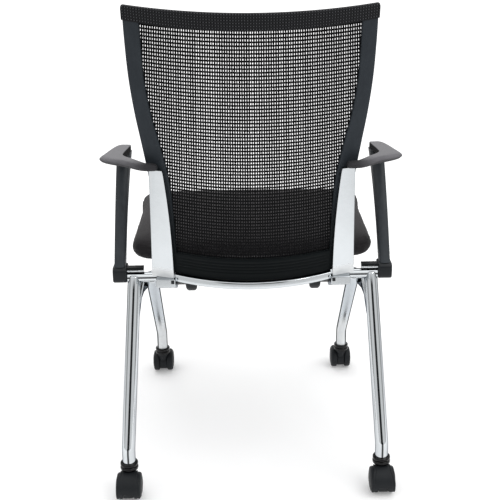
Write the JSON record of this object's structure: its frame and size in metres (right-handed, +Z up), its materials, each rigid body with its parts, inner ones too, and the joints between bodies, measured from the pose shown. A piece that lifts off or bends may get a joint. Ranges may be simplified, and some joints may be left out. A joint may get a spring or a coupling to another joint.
{
  "type": "nesting chair",
  "caption": "Mesh-back nesting chair with loop arms, a flip-up padded seat and splayed chromed legs on swivelling twin-wheel casters.",
  "frame": {"origin": "centre of the chair's outline on the floor it stands on", "axes": "+Z up, the sitter faces -Y and the sitter's left hand is on +X"},
  "size_m": [0.568, 0.6176, 0.9422],
  "materials": {
    "chrome": "polished chrome plate, mirror-like",
    "slate_plastic": "fine-grained dark slate plastic, satin",
    "arm_plastic": "fine-grained dark grey plastic, satin",
    "black_plastic": "moulded black plastic, satin",
    "caster_plastic": "moulded dark slate nylon, satin",
    "black_steel": "black powder coat",
    "plain_steel": "bright turned steel",
    "mesh_fabric": "open black polyester mesh",
    "seat_fabric": "plain-woven black upholstery"
  },
  "bodies": {
    "frame": {"back_frame": "slate_plastic", "top_mesh_band": "mesh_fabric", "back_net": "mesh_fabric", "back_crossbar": "chrome", "cross_beam": "black_steel", "rear_leg_left": "chrome", "rear_leg_right": "chrome", "front_leg_left": "chrome", "front_leg_right": "chrome", "leg_gusset_left": "chrome", "leg_gusset_right": "chrome", "hub_stub_left": "chrome", "hub_stub_right": "chrome", "hub_cap_left": "black_plastic", "hub_cap_right": "black_plastic", "arm_bar_left": "black_plastic", "arm_bar_right": "black_plastic", "arm_post_left": "arm_plastic", "arm_post_right": "arm_plastic", "armrest_left": "arm_plastic", "armrest_right": "arm_plastic", "back_upright_left": "chrome", "back_upright_right": "chrome", "upright_bracket_left": "chrome", "upright_bracket_right": "chrome", "bracket_screw_left": "black_plastic", "bracket_screw_right": "black_plastic", "leg_socket_front_left": "black_plastic", "leg_socket_front_right": "black_plastic", "leg_socket_rear_left": "black_plastic", "leg_socket_rear_right": "black_plastic"},
    "seat": {"seat_cushion": "seat_fabric", "seat_pan": "black_plastic", "seat_hinge_left": "black_plastic", "seat_hinge_right": "black_plastic"},
    "caster_front_left": {"caster_stem_front_left": "plain_steel", "caster_housing_front_left": "caster_plastic", "caster_axle_front_left": "plain_steel"},
    "wheel_a_front_left": {"caster_wheel_a_front_left": "caster_plastic"},
    "wheel_b_front_left": {"caster_wheel_b_front_left": "caster_plastic"},
    "caster_front_right": {"caster_stem_front_right": "plain_steel", "caster_housing_front_right": "caster_plastic", "caster_axle_front_right": "plain_steel"},
    "wheel_a_front_right": {"caster_wheel_a_front_right": "caster_plastic"},
    "wheel_b_front_right": {"caster_wheel_b_front_right": "caster_plastic"},
    "caster_rear_left": {"caster_stem_rear_left": "plain_steel", "caster_housing_rear_left": "caster_plastic", "caster_axle_rear_left": "plain_steel"},
    "wheel_a_rear_left": {"caster_wheel_a_rear_left": "caster_plastic"},
    "wheel_b_rear_left": {"caster_wheel_b_rear_left": "caster_plastic"},
    "caster_rear_right": {"caster_stem_rear_right": "plain_steel", "caster_housing_rear_right": "caster_plastic", "caster_axle_rear_right": "plain_steel"},
    "wheel_a_rear_right": {"caster_wheel_a_rear_right": "caster_plastic"},
    "wheel_b_rear_right": {"caster_wheel_b_rear_right": "caster_plastic"}
  },
  "joints": [
    {"name": "seat_flip", "type": "hinge", "parent": "frame", "child": "seat", "pos_m": [0, 0.12399, 0.411], "axis": [-1, 0, 0], "range_deg": [0, 60]},
    {"name": "caster_swivel_front_left", "type": "hinge", "parent": "frame", "child": "caster_front_left", "pos_m": [0.22, -0.26601, 0.05], "axis": [0, 0, 1], "continuous": true},
    {"name": "wheel_spin_a_front_left", "type": "hinge", "parent": "caster_front_left", "child": "wheel_a_front_left", "pos_m": [0.22, -0.28101, 0.02452], "axis": [1, 0, 0], "continuous": true},
    {"name": "wheel_spin_b_front_left", "type": "hinge", "parent": "caster_front_left", "child": "wheel_b_front_left", "pos_m": [0.22, -0.28101, 0.02452], "axis": [1, 0, 0], "continuous": true},
    {"name": "caster_swivel_front_right", "type": "hinge", "parent": "frame", "child": "caster_front_right", "pos_m": [-0.22, -0.26601, 0.05], "axis": [0, 0, 1], "continuous": true},
    {"name": "wheel_spin_a_front_right", "type": "hinge", "parent": "caster_front_right", "child": "wheel_a_front_right", "pos_m": [-0.22, -0.28101, 0.02452], "axis": [1, 0, 0], "continuous": true},
    {"name": "wheel_spin_b_front_right", "type": "hinge", "parent": "caster_front_right", "child": "wheel_b_front_right", "pos_m": [-0.22, -0.28101, 0.02452], "axis": [1, 0, 0], "continuous": true},
    {"name": "caster_swivel_rear_left", "type": "hinge", "parent": "frame", "child": "caster_rear_left", "pos_m": [0.246, 0.22499, 0.05], "axis": [0, 0, 1], "continuous": true},
    {"name": "wheel_spin_a_rear_left", "type": "hinge", "parent": "caster_rear_left", "child": "wheel_a_rear_left", "pos_m": [0.246, 0.23999, 0.02452], "axis": [1, 0, 0], "continuous": true},
    {"name": "wheel_spin_b_rear_left", "type": "hinge", "parent": "caster_rear_left", "child": "wheel_b_rear_left", "pos_m": [0.246, 0.23999, 0.02452], "axis": [1, 0, 0], "continuous": true},
    {"name": "caster_swivel_rear_right", "type": "hinge", "parent": "frame", "child": "caster_rear_right", "pos_m": [-0.246, 0.22499, 0.05], "axis": [0, 0, 1], "continuous": true},
    {"name": "wheel_spin_a_rear_right", "type": "hinge", "parent": "caster_rear_right", "child": "wheel_a_rear_right", "pos_m": [-0.246, 0.23999, 0.02452], "axis": [1, 0, 0], "continuous": true},
    {"name": "wheel_spin_b_rear_right", "type": "hinge", "parent": "caster_rear_right", "child": "wheel_b_rear_right", "pos_m": [-0.246, 0.23999, 0.02452], "axis": [1, 0, 0], "continuous": true}
  ]
}
